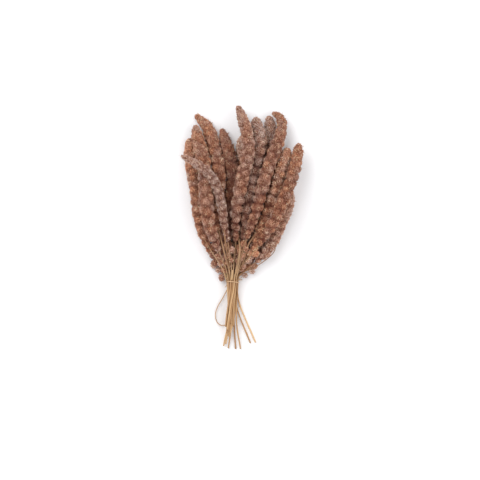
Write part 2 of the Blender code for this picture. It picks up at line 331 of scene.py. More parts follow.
# Directions along, sideways and up of what runs along a vector or many
def axesOf(vectors):
    ahead = unit(vectors)
    side = unit(np.cross(ahead, (0, 0, 1)))
    return ahead, side, np.cross(side, ahead)


def framesOf(path):
    return axesOf(np.gradient(path, axis=0))


def fullTurn(count):
    return np.linspace(0, 2 * math.pi, count, endpoint=False)


# The directions out from a path at each angle round it
def outwards(angle, side, up):
    return np.cos(angle)[:, None] * side[:, None] + np.sin(angle)[:, None] * up[:, None]


def setAttribute(mesh, key, values):
    values = np.asarray(values, float)
    vectors = values.ndim == 2
    layer = mesh.attributes.new(key, "FLOAT_VECTOR" if vectors else "FLOAT", "POINT")
    layer.data.foreach_set("vector" if vectors else "value", values.ravel())


# Attributes that are the same all over a mesh
def setEvenly(mesh, values):
    for key, value in values.items():
        setAttribute(mesh, key, np.tile(value, (len(mesh.vertices),) + (1,) * np.ndim(value)))


# One mesh of several, with their attributes
def joined(name, meshes):
    whole = bmesh.new()
    for mesh in meshes:
        whole.from_mesh(mesh)
        bpy.data.meshes.remove(mesh)
    mesh = bpy.data.meshes.new(name)
    whole.to_mesh(mesh)
    whole.free()
    mesh.shade_smooth()
    return mesh


# Once round in the straw map, against 7.5 mm on a straw
mapGirth = 0.01


# A closed skin over rings of points, with a point that closes each end
def gridMesh(name, rings, start, end, attributes, mapAlong=None):
    count, around = rings.shape[:2]
    corners = [[(j, i), (j + 1, i), (j + 1, i + 1), (j, i + 1)] for j in range(count - 1)
               for i in range(around)]
    for i in range(around):
        corners += [[(-1, i), (0, i), (0, i + 1)], [(count, i), (count - 1, i + 1), (count - 1, i)]]
    poles = {-1: count * around, count: count * around + 1}
    faces = [[poles.get(j, j * around + i % around) for j, i in face] for face in corners]
    mesh = newMesh(name, np.vstack([rings.reshape(-1, 3), start, end]), faces)
    for key, values in attributes.items():
        flat = values.reshape((count * around,) + values.shape[2:])
        setAttribute(mesh, key, np.concatenate([flat, flat[:1], flat[-1:]]))
    if mapAlong is not None:
        layer = mesh.uv_layers.new(name="strawMap")
        uv = [(i / around * mapGirth, mapAlong[min(max(j, 0), count - 1)]) for face in corners
              for j, i in face]
        layer.data.foreach_set("uv", np.array(uv).ravel())
    return mesh


# Geometry Nodes: a coat of grains or bristles that stands on a surface

# The tree's inputs. What grows leans along the piece, and any way where it is unruly.
coatInputs = ("Spacing", "Width", "Length", "Rise", "Flatness", "Variation", "Lean", "Unruly")
coatRules = {
    "crowding": 4.0,  # points tried in each square as wide as the spacing
    "sizeSeed": 7,
    "tintSeed": 3,
    "tipClear": 0.0005,  # no bristle's tip is lower than this above the table
}


def makeCoatTree(name, hasBristles):
    tree = bpy.data.node_groups.new(name, "GeometryNodeTree")
    add = partial(addNode, tree)
    newSocket = tree.interface.new_socket
    newSocket("Geometry", in_out="OUTPUT", socket_type="NodeSocketGeometry")
    newSocket("Geometry", socket_type="NodeSocketGeometry")
    for socket in coatInputs:
        newSocket(socket, socket_type="NodeSocketFloat")
    newSocket("Seed", socket_type="NodeSocketInt")
    newSocket("Material", socket_type="NodeSocketMaterial")
    given = add("NodeGroupInput").outputs
    density = add("ShaderNodeMath", {0: given["Spacing"], 1: -2.0}, operation="POWER")
    crowd = add("ShaderNodeMath", {0: density, 1: coatRules["crowding"]}, operation="MULTIPLY")
    cover = add("GeometryNodeInputNamedAttribute", {"Name": "cover"})
    points = add("GeometryNodeDistributePointsOnFaces",
                 {"Mesh": given["Geometry"], "Distance Min": given["Spacing"], "Density Max": crowd,
                  "Density Factor": cover, "Seed": given["Seed"]}, distribute_method="POISSON")
    grow = add("GeometryNodeInputNamedAttribute", {"Name": "grow"}, data_type="FLOAT_VECTOR")
    leaning = add("ShaderNodeVectorMath", {0: grow, "Scale": given["Lean"]}, operation="SCALE")
    chance = add("FunctionNodeRandomValue", {0: (-1, -1, -1), 1: (1, 1, 1), "Seed": given["Seed"]},
                 data_type="FLOAT_VECTOR")
    unruly = add("ShaderNodeVectorMath", {0: chance, "Scale": given["Unruly"]}, operation="SCALE")
    upright = add("ShaderNodeVectorMath", {0: points.outputs["Normal"], 1: leaning}, operation="ADD")
    aim = add("ShaderNodeVectorMath", {0: upright, 1: unruly}, operation="ADD")
    turned = add("FunctionNodeAlignRotationToVector", {"Vector": aim}, axis="Z")
    thick = add("ShaderNodeMath", {0: given["Width"], 1: given["Flatness"]}, operation="MULTIPLY")
    size = add("ShaderNodeCombineXYZ", {"X": given["Width"], "Y": thick, "Z": given["Length"]})
    if hasBristles:
        body = add("GeometryNodeMeshCone",
                   {"Vertices": 3, "Radius Top": 0.0, "Radius Bottom": 0.5, "Depth": 1.0}, fill_type="NGON")
        # none where its tip would pass through the table
        straight = add("ShaderNodeVectorMath", {0: aim}, operation="NORMALIZE")
        tip = add("ShaderNodeVectorMath", {0: straight, "Scale": given["Length"]}, operation="SCALE")
        foot = add("GeometryNodeInputPosition")
        end = add("ShaderNodeVectorMath", {0: foot, 1: tip}, operation="ADD")
        height = add("ShaderNodeSeparateXYZ", {0: end}).outputs["Z"]
        under = add("FunctionNodeCompare", {0: height, 1: coatRules["tipClear"]}, operation="LESS_THAN")
        points = add("GeometryNodeDeleteGeometry", {"Geometry": points, "Selection": under})
    else:
        body = add("GeometryNodeMeshIcoSphere", {"Radius": 0.5, "Subdivisions": 1})
    lift = add("ShaderNodeCombineXYZ", {"Z": given["Rise"]})
    shaped = add("GeometryNodeTransform", {"Geometry": body, "Scale": size, "Translation": lift})
    rounded = add("GeometryNodeSetShadeSmooth", {"Geometry": shaped})
    less, more = (add("ShaderNodeMath", {0: 1.0, 1: given["Variation"]}, operation=operation)
                  for operation in ("SUBTRACT", "ADD"))
    scale = add("FunctionNodeRandomValue", {2: less, 3: more, "Seed": coatRules["sizeSeed"]}).outputs[1]
    placed = add("GeometryNodeInstanceOnPoints",
                 {"Points": points, "Instance": rounded, "Rotation": turned, "Scale": scale})
    tint = add("FunctionNodeRandomValue", {"Seed": coatRules["tintSeed"]}).outputs[1]
    tinted = add("GeometryNodeStoreNamedAttribute", {"Geometry": placed, "Name": "tint", "Value": tint},
                 domain="INSTANCE")
    real = add("GeometryNodeRealizeInstances", {"Geometry": tinted})
    # what would reach into the table is pressed flat on it
    spot = add("ShaderNodeSeparateXYZ", {0: add("GeometryNodeInputPosition")}).outputs
    above = add("ShaderNodeMath", {0: spot["Z"], 1: clearance}, operation="MAXIMUM")
    rested = add("ShaderNodeCombineXYZ", {"X": spot["X"], "Y": spot["Y"], "Z": above})
    pressed = add("GeometryNodeSetPosition", {"Geometry": real, "Position": rested})
    finished = add("GeometryNodeSetMaterial", {"Geometry": pressed, "Material": given["Material"]})
    add("NodeGroupOutput", {0: finished})
    return tree


grainTree = makeCoatTree("grainCoat", hasBristles=False)
bristleTree = makeCoatTree("bristleCoat", hasBristles=True)

# What each kind of coat is made of, with its inputs in the same order. The grains close the coat.
coats = {
    "Grains": (grainTree, grain, (0.00168, 0.0022, 0.0025, 0.0002, 1.0, 0.14, 0.35, 0.35)),
    "Bristles": (bristleTree, bristle, (0.0038, 0.00024, 0.0048, 0.0, 1.0, 0.45, 0.8, 0.5)),
    "Strays": (grainTree, husk, (0.0075, 0.0012, 0.0044, 0.0014, 0.4, 0.5, 0.6, 0.9)),
    "Husks": (grainTree, husk, (0.0032, 0.0017, 0.0055, 0.0012, 0.3, 0.4, 1.5, 0.5)),
}
# The coats of each sort of piece: the seed, to which its number is added, and what differs
coatsOf = {
    "head": {"Grains": {"Seed": 0}, "Bristles": {"Seed": 50}, "Strays": {"Seed": 80}},
    "cluster": {"Grains": {"Seed": 100}, "Bristles": {"Seed": 120, "Length": 0.004}},
    "straw": {"Husks": {"Seed": 200}, "Bristles": {"Seed": 230, "Spacing": 0.002, "Length": 0.0035}},
    "lobes": {"Grains": {"Seed": 260}},
    "edgeLobes": {"Grains": {"Seed": 290}},
}


# Grows the coats of its sort on a base, each as a piece of its own
def growOn(base, sort, number=""):
    for kind, own in coatsOf[sort].items():
        tree, material, inputs = coats[kind]
        values = {**dict(zip(coatInputs, inputs)), **own, "Material": material}
        values["Seed"] += int(number or 0)
        modifier = base.modifiers.new("coat", "NODES")
        modifier.node_group = tree
        for socket in tree.interface.items_tree:
            if socket.in_out == "INPUT" and socket.name in values:
                modifier[socket.identifier] = values[socket.name]
        mesh = realised(base)
        base.modifiers.remove(modifier)
        if len(mesh.polygons):
            mesh.name = sort + number + kind
            # the tree leaves an empty slot before the material
            mesh.materials.clear()
            dress(addObject(sort + number + kind, mesh, material), "seed")


# Heads: a lobed core under a coat of grains, with bristles between them

head = {
    "ringStep": 0.0018,
    "firstRings": (0.0003, 0.0011),
    "lastRing": 0.0004,  # before the end
    "poleOut": 0.0002,  # the end points, past the path
    "around": 38,
    "sunk": 0.0005,  # below the outline, which the grains reach
    "fineUntil": 0.08,  # share of the length from the tip with fine, flat lobes
    "turningFull": 0.32,  # and how much further they are at their fullest
    "swallowed": 0.45,  # share of the fullest lobes that a neighbour took in
    "settling": 3,  # rounds in which the others spread
    "stray": 0.0005,
    "lobeFill": 0.93,  # a lobe's radius, against a disc as big as its room
    "lobeLimit": 0.75,  # and at most against the head's own
    "lobeTurn": 1.5,  # its reach round the head, in radians
    "tipFloor": 0.8,  # radius between the lobes, as a share
    "baseFloor": 0.52,
    "creaseShare": 0.65,  # a lobe's shaded rim, on the way to its middle
    "crestFrom": 0.9,  # risen in full from this share of its height
    "rimShade": 0.62,
    "tipCrease": 0.35,  # how dark the painted shade in the creases is at the tip
    "standOut": 0.14,  # share of the radius by which a few stick out
    "tipStandOut": 0.22,
    "toneSpread": 0.45,
    "dullEven": 0.75,  # how much more even in tone the dullest heads are
    "lightSpread": 0.12,
    "tipRound": 0.9,  # length, as a share of the first radius
    "baseRound": 0.004,
    "baseLeast": 0.2,
    "taper": 0.22,  # how much slimmer the tip is
    "taperLength": 0.022,
    # and these still more, over the slim length
    "slimTips": {"07": 0.1, "10": 0.2, "12": 0.38, "13": 0.22, "14": 0.2},
    "slimLength": 0.065,
    "tableGap": 0.0012,
}
# Which parts of a core can be seen from outside the bunch
openness = {"start": 0.003, "reach": 0.09, "tilt": 1.2, "ways": 6}
# For each head, how far it has turned from warm red-brown to dull mauve, the mauve partly its own tone and
# partly painted reflection; how light it is, partly its own lightness and partly painted light that
# brightens the heads lying low in the bunch's shade; and its girth against the CAD's
headLook = {
    "01": (0.6, 1.3, 1.02), "02": (0.55, 0.96, 1.02), "03": (0.95, 0.93, 1.03), "04": (0.5, 0.6, 1.15),
    "05": (0.22, 1.12, 1.0), "06": (0.6, 1.4, 1.0), "07": (0.27, 0.88, 1.12), "08": (0.9, 0.86, 1.02),
    "09": (0.35, 1.15, 1.02), "10": (0.47, 0.83, 1.08), "11": (0.27, 0.8, 0.98), "12": (0.48, 0.76, 0.98),
    "13": (0.66, 0.84, 1.0), "14": (0.97, 0.9, 0.95),
}

headPaths = {}  # the middle line of each head, from its tip


# A head in the CAD: its middle line from the tip, how far its peaks reach out along it, and the ring and
# direction of each peak
def headInCad(name):
    spots, _, neighbours = weldedNode(name)
    # beside the two ends, more points than elsewhere have six neighbours
    ends = sorted(range(len(spots)), key=lambda p: -sum(len(neighbours[q]) == 6 for q in neighbours[p]))[:2]
    tip = max(ends, key=lambda p: norm(spots[p] - bandMiddle))
    steps = stepsFrom(tip, neighbours)
    rings = [[p for p in steps if steps[p] == k] for k in range(max(steps.values()))]
    path = smoothed(np.array([spots[ring].mean(0) for ring in rings]), 2)
    crest = np.zeros(len(rings))
    peaks = []
    for k, ring in enumerate(rings[1:], 1):
        found = [spots[p] - path[k] for p in ring if len(neighbours[p]) == 4]
        crest[k] = np.mean([norm(out) for out in found]) if found else 0
        peaks += [(k, out) for out in found]
    crest[0] = crest[1]
    return path, smoothed(crest, 2), peaks


# How far spots on a head lie from the middles of its lobes: along it, round it and straight
def apartFrom(middles, far, about, radius):
    ahead = far[..., None] - middles[:, 0]
    turn = (about[..., None] - middles[:, 1] + math.pi) % (2 * math.pi) - math.pi
    return ahead, turn, np.hypot(ahead, radius[:, None, None] * turn)


# The middles of a head's lobes, along it and round it, and each one's surface. Some have swallowed a
# neighbour, and all have settled into the room they found.
def settledLobes(path, peaks, where, far, about, radius, full, draw):
    along = distanceAlong(path)
    _, side, up = framesOf(path)
    around = far.shape[1]
    area = np.outer(np.gradient(where) * radius, np.full(around, 2 * math.pi / around)).ravel()
    middles = np.array([(along[k], math.atan2(out @ up[k], out @ side[k])) for k, out in peaks
                        if draw.random() > head["swallowed"] * np.interp(along[k], where, full)])
    for _ in range(head["settling"]):
        nearest = apartFrom(middles, far, about, radius)[2].argmin(2).ravel()
        room = np.bincount(nearest, area, len(middles))
        sums = [np.bincount(nearest, area * values.ravel(), len(middles))
                for values in (far, np.cos(about), np.sin(about))]
        held = room > 0
        middles = np.stack([sums[0][held] / room[held], np.arctan2(sums[2][held], sums[1][held])], axis=1)
        middles[:, 0] += [draw.uniform(-1, 1) * head["stray"] for _ in middles]
    return middles, room[held]


def headCore(number):
    name = "head_" + number
    tone, light, girth = headLook[number]
    draw = random.Random("core" + number)
    path, crest, peaks = headInCad(name)
    headPaths[number] = path
    crest *= girth
    along = distanceAlong(path)
    length = along[-1]
    count = round(length / head["ringStep"])
    where = np.concatenate([head["firstRings"], np.linspace(0, length, count + 1)[1:-1],
                            [length - head["lastRing"]]])
    angle = fullTurn(head["around"])
    far, about = np.meshgrid(where, angle, indexing="ij")
    radius = np.interp(where, along, crest)
    full = np.clip((where / length - head["fineUntil"]) / head["turningFull"], 0, 1)
    full = full ** 2 * (3 - 2 * full)

    middles, room = settledLobes(path, peaks, where, far, about, radius, full, draw)
    chance = np.array([[draw.random() for _ in range(3)] for _ in middles])
    reach = np.interp(middles[:, 0], along, crest)
    size = np.minimum(head["lobeFill"] * np.sqrt(room / math.pi), head["lobeLimit"] * reach)
    fine = 1 - np.interp(middles[:, 0], where, full)
    reach *= (1 + head["standOut"] * chance[:, 0] ** 4
              + head["tipStandOut"] * chance[:, 1] ** 2 * fine)

    # each lobe is a ball, and the highest one shows
    floor = radius * (head["tipFloor"] + (head["baseFloor"] - head["tipFloor"]) * full)
    ahead, turn, apart = apartFrom(middles, far, about, radius)
    inside = size ** 2 - ahead ** 2 - ((reach - size) * np.sin(turn)) ** 2
    ball = np.where((inside > 0) & (np.abs(turn) < head["lobeTurn"]),
                    (reach - size) * np.cos(turn) + np.sqrt(np.maximum(inside, 0)), 0)
    height = np.maximum(ball.max(2), floor[:, None])

    # Painted shade: darker down in the creases between the lobes and towards each lobe's rim, fainter near
    # the tip, and multiplied by the head's lightness, which holds painted light as well as its own tone
    nearest = apart.argmin(2)
    first, second = np.moveaxis(np.partition(apart, 1, axis=2)[..., :2], 2, 0)
    rim = np.clip((second - first) / (second + first) / head["creaseShare"], 0, 1)
    crestHeight = head["crestFrom"] * (radius - floor)
    risen = np.clip((height - floor[:, None]) / crestHeight[:, None], 0, 1)
    depth = risen * (1 - head["rimShade"] * (1 - rim))
    fade = head["tipCrease"] + (1 - head["tipCrease"]) * full[:, None]
    depth = (1 - (1 - depth) * fade) * (light - head["lightSpread"] * 2 * chance[nearest, 1])
    tone = tone + head["toneSpread"] * (1 - head["dullEven"] * tone) * (2 * chance[nearest, 2] - 1)

    cap = head["tipRound"] * crest[1]
    tipRound = np.sqrt(np.clip(1 - (1 - np.minimum(where, cap) / cap) ** 2, 0, 1))
    baseRound = np.sqrt(np.clip((length - where) / head["baseRound"], head["baseLeast"], 1))
    taper = 1 - head["taper"] * np.clip(1 - where / head["taperLength"], 0, 1) ** 2
    taper *= 1 - head["slimTips"].get(number, 0) * np.clip(1 - where / head["slimLength"], 0, 1)
    height = (height - head["sunk"]) * (tipRound * baseRound * taper)[:, None]

    spine = pathAt(path, where)
    ahead, side, up = framesOf(spine)
    points = spine[:, None] + height[..., None] * outwards(angle, side, up)
    ends = spine[[0, -1]] + np.array([-1, 1])[:, None] * ahead[[0, -1]] * head["poleOut"]
    for spots in (points, ends):
        spots[..., 2] = np.maximum(spots[..., 2], head["tableGap"])
    grow = np.repeat(-ahead[:, None], len(angle), axis=1)
    mesh = gridMesh(name, points, *ends,
                    {"depth": depth, "tone": tone, "grow": grow, "cover": np.ones_like(depth)})
    return addObject(f"head{number}Core", mesh, chaff)


# Leaves the coat off every spot from which each way out of the bunch meets another head
def bareWhereBuried(cores):
    points = []
    faces = []
    for core in cores:
        faces += [[v + len(points) for v in face.vertices] for face in core.data.polygons]
        points += [vertex.co.copy() for vertex in core.data.vertices]
    bulk = BVHTree.FromPolygons(points, faces)
    for core in cores:
        cover = []
        for vertex in core.data.vertices:
            normal = vertex.normal
            side = normal.orthogonal().normalized()
            other = normal.cross(side)
            start = vertex.co + normal * openness["start"]
            ways = [normal] + [normal + (side * math.cos(turn) + other * math.sin(turn)) * openness["tilt"]
                               for turn in fullTurn(openness["ways"])]
            cover.append(float(any(bulk.ray_cast(start, way, openness["reach"])[0] is None for way in ways)))
        core.data.attributes["cover"].data.foreach_set("value", cover)


def dressHeads():
    cores = {number: headCore(number) for number in headLook}
    bareWhereBuried(cores.values())
    for number, core in cores.items():
        growOn(core, "head", number)
        dress(core, "seed", "head_" + number)
    print("heads dressed")


# Small clusters low on the straws: the CAD lump rounded off, under the same coat

cluster = {"rounding": 2,
           # a little painted shade over the whole cluster
           "look": {"depth": 0.95, "tone": 0.75, "cover": 1.0, "grow": (0.0, 0.5, 0.0)}}
clusterNames = cadNames("low_cluster_")


def dressClusters():
    for number, name in enumerate(clusterNames, 1):
        spots, where, _ = weldedNode(name)
        faces = [[int(where[v]) for v in face.vertices] for face in nodes[name].data.polygons]
        lump = addObject("lump", newMesh(name, spots, faces))
        rounding = lump.modifiers.new("round", "SUBSURF")
        rounding.levels = rounding.render_levels = cluster["rounding"]
        smooth = realised(lump)
        bpy.data.objects.remove(lump)
        setEvenly(smooth, cluster["look"])
        core = addObject(f"cluster{number}Core", smooth, chaff)
        growOn(core, "cluster", str(number))
        dress(core, "seed", name)
    print("clusters dressed")


# Straws: ridged tubes, crooked a little, cut hollow at the lower end

tube = {
    "ringReach": 0.0017,  # points of a CAD ring lie nearer than this
    "slenderReach": 0.0009,
    "step": 0.003,
    "fewest": 12,  # rings
    "around": 14,
    "smoothing": 5,
    "clearOfBand": 0.012,
    "ridges": 7,
    "ridge": 0.035,
    "swell": 0.05,
    "swelling": (260, 97),  # two waves of its thickness, in radians a metre
    "intoHead": (0.005, 0.010, 0.016),
    "looseLead": 0.009,  # loose straws run straight on this far,
    "loosePast": 0.022,  # then into the nearest head at about here,
    "awayFromTips": 8,  # but not into the last rings at its base
    "hollow": 0.58,
    "hollowDepth": 0.004,
    "slant": 0.35,
    "huskReach": 0.032,  # below its head
    "huskFade": 1.5,
}

# Below the band the straws draw together and twist a little. At each distance below it: how much of the
# width is left, and how far the sheaf has drifted and turned
sheaf = {
    "below": (0.0, 0.010, 0.036, 0.058, 0.08),
    "width": (1.0, 0.93, 0.7, 0.64, 0.45),
    "drift": (0.0, 0.0, -0.0015, -0.0022, -0.0028),
    "turn": (0.0, 0.04, 0.3, 0.42, 0.5),
    "middle": (-0.0149, 0.012),
    "step": 0.006,
    "reach": 0.11,
    "apartAt": 0.02,  # straws that end this far out keep their own way
    "longFrom": 0.088,  # and those longer than this come back to it at the end
    "backOver": 0.045,
    "rounds": 14,
    "apartLeast": 1e-9,
    "points": 100,  # on each straw
}


# How far each straw shifts sideways and up at each distance below the band. The sheaf is drawn together,
# and then straws that would pass through each other push each other apart.
def sheafShifts(paths):
    below = np.arange(0, sheaf["reach"], sheaf["step"])
    middle = np.array(sheaf["middle"])
    ways, radii = zip(*paths.values())
    radii = np.array([radius.mean() for radius in radii])
    feet = np.array([path[0] for path in ways])
    low = bandY - feet[:, 1]
    leaves = abs(feet[:, 0] - middle[0]) > sheaf["apartAt"]
    shifts = np.zeros((len(paths), len(below), 2))
    for k, down in enumerate(below[1:], 1):
        own = np.array([[np.interp(bandY - down, path[:, 1], path[:, axis]) for axis in (0, 2)]
                        for path in ways])
        width, drift, turn = (np.interp(down, sheaf["below"], sheaf[key])
                              for key in ("width", "drift", "turn"))
        x, z = ((own - middle) * (width, 1)).T
        drawn = middle + np.stack([x * math.cos(turn) - z * math.sin(turn) + drift,
                                   x * math.sin(turn) + z * math.cos(turn)], axis=1)
        back = np.where(low > sheaf["longFrom"], np.clip((low - down) / sheaf["backOver"], 0, 1), 1)
        spots = own + (drawn - own) * (back * ~leaves)[:, None]
        there = low >= down
        for _ in range(sheaf["rounds"]):
            apart = spots[:, None] - spots
            distance = norm(apart, axis=2) + sheaf["apartLeast"]
            overlap = np.maximum(radii[:, None] + radii - distance, 0) * there[:, None] * there
            np.fill_diagonal(overlap, 0)
            push = (apart / distance[..., None] * overlap[..., None] / 2).sum(1)
            spots += push * ~leaves[:, None]
            spots[:, 1] = np.maximum(spots[:, 1], radii)
        shifts[:, k] = spots - own
        shifts[~there, k] = shifts[~there, k - 1]
    return below, {name: smoothed(shift, 2) for name, shift in zip(paths, shifts)}


def gathered(path, radius, below, shift):
    where = np.linspace(0, distanceAlong(path)[-1], sheaf["points"])
    new = pathAt(path, where)
    down = bandY - new[:, 1]
    new[:, 0] += np.interp(down, below, shift[:, 0])
    new[:, 2] += np.interp(down, below, shift[:, 1])
    return new, np.interp(where, distanceAlong(path), radius)


# A ridged tube along the path, whose first end is cut hollow
def strawMesh(name, path, radius, draw):
    length = distanceAlong(path)[-1]
    where = np.linspace(0, length, max(tube["fewest"], round(length / tube["step"])))
    spine = smoothed(pathAt(path, where), 1)
    # above the band, and clear of it, the bends are rounder
    clear = np.clip((spine[:, 1] - bandY) / tube["clearOfBand"] - 1, 0, 1)[:, None]
    spine = spine * (1 - clear) + smoothed(spine, tube["smoothing"]) * clear
    phase = draw.uniform(*startTurn)
    one, other = tube["swelling"]
    thick = np.interp(where, distanceAlong(path), radius)
    waves = np.sin(where * one + phase) * np.sin(where * other + 2 * phase)
    thick = thick * (1 + tube["swell"] * waves)
    ahead, side, up = framesOf(spine)
    angle = fullTurn(tube["around"])
    ridges = 1 + tube["ridge"] * np.cos(angle * tube["ridges"] + phase)
    out = outwards(angle, side, up)
    rings = spine[:, None] + (thick[:, None] * ridges)[..., None] * out
    slant = tube["slant"] * thick[0] * np.cos(angle + phase)
    rings[0] += slant[:, None] * ahead[0]
    rim = spine[0] + thick[0] * tube["hollow"] * out[0] + slant[:, None] * ahead[0]
    well = rim + ahead[0] * tube["hollowDepth"]
    rings = np.concatenate([[well, rim], rings])
    rings[..., 2] = np.maximum(rings[..., 2], clearance)
    mapAlong = np.append([0, 0], where)
    near = np.clip(1 - (length - mapAlong) / tube["huskReach"], 0, 1)
    cover = np.repeat(near[:, None] ** tube["huskFade"], len(angle), axis=1)
    grow = np.repeat(np.vstack([ahead[:1], ahead[:1], ahead])[:, None], len(angle), axis=1)
    return gridMesh(name, rings, rings[0].mean(0), spine[-1],
                    {"cover": cover, "grow": grow, "dull": np.full_like(cover, draw.random())}, mapAlong)


stalk = {
    "step": 0.006,
    "fewest": 6,  # rings
    "around": 5,
    "endShare": 0.6,  # of the radius, at the thin end
    "radius": 0.00036,
    "dull": (0.3, 1.0),
    "thicker": 1.3,  # those of the clusters and edge lobes
    "broken": 2.0,  # and the broken ones
    "sag": (0, -0.001, 0),
    "aboveBand": 0.003,  # where the lowest ones start
    "down": 0.007,  # at least, from what it carries to its foot
}


# A thin stalk, narrower at its end
def stalkMesh(points, radius, dull):
    points = np.array(points)
    length = distanceAlong(points)[-1]
    count = max(stalk["fewest"], round(length / stalk["step"]))
    spine = smoothed(pathAt(points, np.linspace(0, length, count)), 2)
    spine[:, 2] = np.maximum(spine[:, 2], radius)
    _, side, up = framesOf(spine)
    thick = np.linspace(radius, stalk["endShare"] * radius, count)[:, None, None]
    rings = spine[:, None] + thick * outwards(fullTurn(stalk["around"]), side, up)
    return gridMesh("stalk", rings, spine[0], spine[-1], {"dull": np.full((count, stalk["around"]), dull)},
                    distanceAlong(spine))


# Sparse lobes below each head, on short stalks
lobe = {
    "first": 0.003,  # below the head's base
    "step": 0.0056,
    "reach": 0.038,
    "biggest": 0.0044,
    "smallest": 0.0027,
    "variation": (0.85, 1.15),
    "longer": 0.2,  # than thick, along its axis
    "standOff": 0.75,  # of its size, from the straw
    "forward": 0.5,
    "lean": 0.5,
    "aboveBand": 0.016,  # the lowest one
    "middle": -0.0125,  # the straws lie in front within the front width of here
    "frontWidth": 0.016,
    "behind": 0.0005,  # and the lobes there lie this far under them
    "turn": 2.4,  # round the straw from each lobe to the next, in radians
    "light": ((-0.040, -0.024), (0.58, 0.93)),  # more in the shade at the left
    "dullest": 0.65,  # tone
    "shortest": 0.005,  # way down the straw to a stalk's foot
    "longest": 0.024,
    "footAboveBand": 0.004,
    "bend": 0.6,
    "pathPoints": 200,  # on each straw
}


# A ball for a lobe's grains to stand on, a little longer along its axis
def lumpMesh(centre, size, axis, draw):
    ball = bmesh.new()
    bmesh.ops.create_icosphere(ball, subdivisions=2, radius=size)
    mesh = bpy.data.meshes.new("lump")
    ball.to_mesh(mesh)
    ball.free()
    spots = np.array([vertex.co[:] for vertex in mesh.vertices])
    axis = unit(axis)
    spots += lobe["longer"] * (spots @ axis)[:, None] * axis + centre
    spots[:, 2] = np.maximum(spots[:, 2], head["tableGap"])
    mesh.vertices.foreach_set("co", spots.ravel())
    # painted shade: lobes towards the left of the fan are darker, each with a random lightness of its own
    light = np.interp(centre[0], *lobe["light"]) - head["lightSpread"] * (1 + draw.uniform(-1, 1))
    tone = draw.uniform(0, lobe["dullest"])
    setEvenly(mesh, {"depth": light, "tone": tone, "cover": 1.0, "grow": axis})
    return mesh


# Lobes as one piece under a coat of grains
def dressLobes(lumps, sort, number=""):
    core = addObject(sort + number + "Core", joined(sort + number, lumps), chaff)
    growOn(core, sort, number)
    dress(core, "seed")


# The lobes below one head and their stalks
def sideLobes(path, radius, allPaths, draw):
    lumps = []
    stalks = []
    length = distanceAlong(path)[-1]
    ahead, side, up = axesOf(path[-1] - pathAt(path, length - lobe["reach"]))
    turn = draw.uniform(*startTurn)
    for down in np.arange(lobe["first"], lobe["reach"], lobe["step"]):
        share = down / lobe["reach"]
        size = lobe["biggest"] + (lobe["smallest"] - lobe["biggest"]) * share
        size *= draw.uniform(*lobe["variation"])
        turn += lobe["turn"]
        # none in front of the straw, where it would hide it
        out = math.cos(turn) * side - abs(math.sin(turn)) * up
        centre = (pathAt(path, length - down) + out * (radius + lobe["standOff"] * size)
                  + ahead * lobe["forward"] * size)
        # and none over the straws in the middle of the fan
        near = np.hypot(allPaths[:, 0] - centre[0], allPaths[:, 1] - centre[1]) < size
        if near.any() and abs(centre[0] - lobe["middle"]) < lobe["frontWidth"]:
            centre[2] = min(centre[2], allPaths[near, 2].max() - size - lobe["behind"])
        centre[2] = max(centre[2], size)
        drop = draw.uniform(lobe["shortest"], lobe["longest"])
        if centre[1] < bandY + lobe["aboveBand"]:
            continue
        foot = pathAt(path, max(length - down - drop, 0))
        foot[1] = max(foot[1], bandY + lobe["footAboveBand"])
        bend = (foot + centre) / 2 + out * radius * lobe["bend"]
        lumps.append(lumpMesh(centre, size, ahead + lobe["lean"] * out, draw))
        stalks.append(stalkMesh([foot, bend, centre], stalk["radius"], draw.uniform(*stalk["dull"])))
    return lumps, stalks


# The heads' own straws, from their cut ends into the heads
def dressStraws(paths, allPaths):
    stalks = []
    for name in cadNames("straw_"):
        number = name[-2:]
        draw = random.Random(name)
        path, radius = paths[name]
        lumps, newStalks = sideLobes(path, radius.mean(), allPaths, draw)
        stalks += newStalks
        inner = headPaths[number]
        ending = pathAt(inner, distanceAlong(inner)[-1] - np.array(tube["intoHead"]))
        piece = addObject("straw" + number, strawMesh(name, *runOn(path, radius, ending), draw), straw)
        growOn(piece, "straw", number)
        dress(piece, "straw", name)
        if lumps:
            dressLobes(lumps, "lobes", number)
    print("straws dressed")
    return stalks


# A straw's path and radii with more points at its upper end
def runOn(path, radius, ending):
    return np.vstack([path, ending]), np.append(radius, np.full(len(ending), radius[-1]))


# The straws without a head: loose ones end in the nearest head, bowed ones are free
def dressOtherStraws(paths):
    inside = np.vstack([middle[:-tube["awayFromTips"]] for middle in headPaths.values()])
    for name in cadNames("bowed_", "loose_"):
        if name in paths:
            path, radius = paths[name]
            lead = unit(path[-1] - path[-4])
            past = path[-1] + lead * tube["loosePast"]
            target = inside[norm(inside - past, axis=1).argmin()]
            path, radius = runOn(path, radius, np.array([path[-1] + lead * tube["looseLead"], target]))
        else:
            path, radius = tubePath(name, tube["slenderReach"])
        # loose_straw_1 becomes looseStraw1
        stem = name[0] + name.title().replace("_", "")[1:]
        dress(addObject(stem, strawMesh(name, path, radius, random.Random(name)), straw), "straw", name)
    print("other straws dressed")


# Lobes at the edge of the fan: middle and size
edgeLobes = [((-0.0335, -0.0045, 0.011), 0.0052), ((-0.0468, -0.0295, 0.009), 0.0046),
             ((-0.04, -0.0365, 0.01), 0.005), ((-0.0456, -0.0425, 0.017), 0.0046),
             ((-0.0415, -0.052, 0.014), 0.0042), ((-0.0325, -0.0788, 0.01), 0.0036),
             ((0.005, -0.05, 0.012), 0.0044), ((0.014, -0.043, 0.016), 0.0046)]
edgeAxis = (0.012, 0.03, 0.0)  # their axes, before they lean out with their place
# Broken stalks beside the band: both ends, in millimetres from the middle of the band
brokenStalks = [[(5.5, 1.2, 0), (12.5, 6.2, 0.5)], [(-7.5, -4, -1), (-11.5, -8.5, 0)]]
